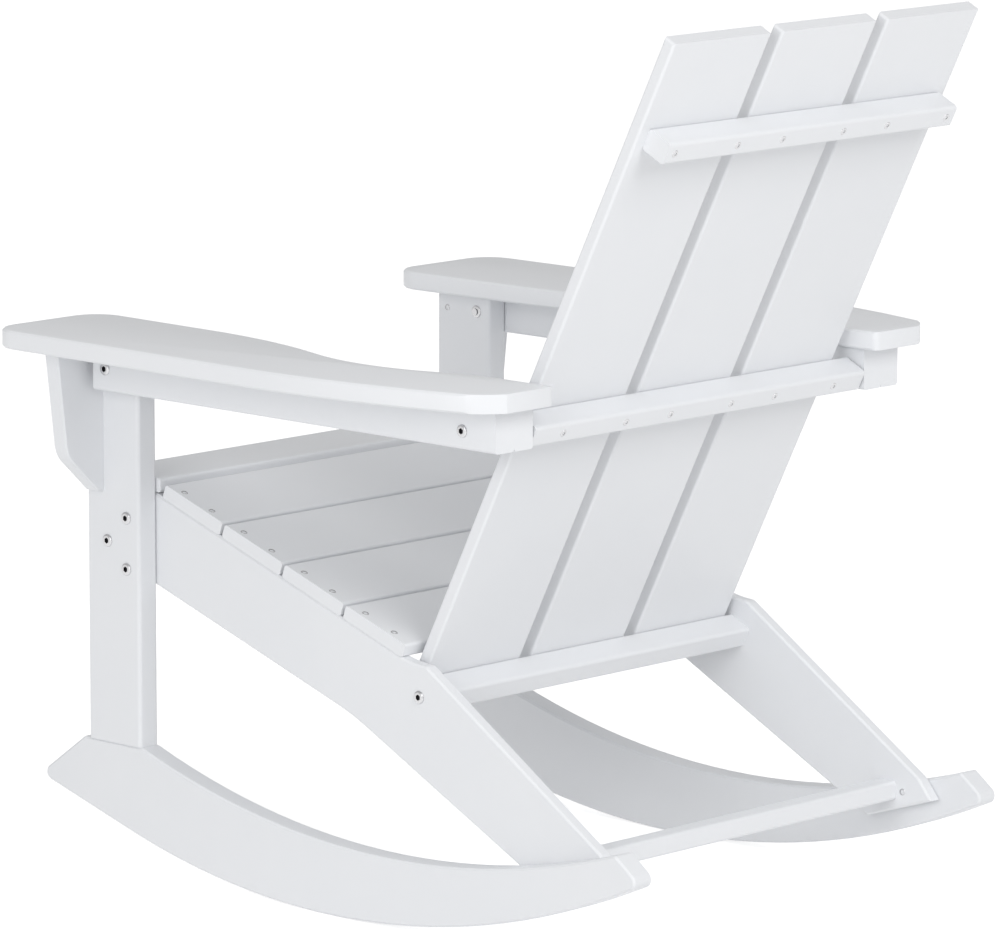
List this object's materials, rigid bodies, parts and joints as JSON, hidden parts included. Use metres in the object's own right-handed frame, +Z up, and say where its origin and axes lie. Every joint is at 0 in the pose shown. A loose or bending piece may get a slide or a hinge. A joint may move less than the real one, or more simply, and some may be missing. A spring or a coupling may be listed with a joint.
{
  "type": "rocking adirondack chair",
  "caption": "Low white garden rocking chair in plastic lumber with a sloped slatted seat, a leaning slatted back, broad flat arms and long curved rockers.",
  "frame": {"origin": "on the floor, at the middle of the bounding box's width and depth", "axes": "+Z up, +Y towards the back, +X to the left of a person sitting in the chair"},
  "size_m": [0.767, 0.8664, 0.9452],
  "materials": {
    "white_lumber": "smooth satin skin, edges rounded with a router",
    "fastener_steel": "satin stainless steel"
  },
  "bodies": {
    "root": {"front_apron": "white_lumber", "front_seat_slat": "white_lumber", "left_arm": "white_lumber", "left_arm_bracket": "white_lumber", "left_arm_rail": "white_lumber", "left_arm_rail_bolts": "fastener_steel", "left_back_slat": "white_lumber", "left_front_leg": "white_lumber", "left_leg_bolts": "fastener_steel", "left_lower_rail_bolt": "fastener_steel", "left_rear_block": "white_lumber", "left_rocker": "white_lumber", "left_stringer": "white_lumber", "lower_back_rail": "white_lumber", "middle_back_rail": "white_lumber", "middle_back_slat": "white_lumber", "rear_stretcher": "white_lumber", "right_arm": "white_lumber", "right_arm_bracket": "white_lumber", "right_arm_rail": "white_lumber", "right_arm_rail_bolts": "fastener_steel", "right_back_slat": "white_lumber", "right_front_leg": "white_lumber", "right_leg_bolts": "fastener_steel", "right_lower_rail_bolt": "fastener_steel", "right_rear_block": "white_lumber", "right_rocker": "white_lumber", "right_stringer": "white_lumber", "seat_slat_1": "white_lumber", "seat_slat_2": "white_lumber", "seat_slat_3": "white_lumber", "seat_slat_4": "white_lumber", "upper_back_rail": "white_lumber"}
  },
  "joints": []
}
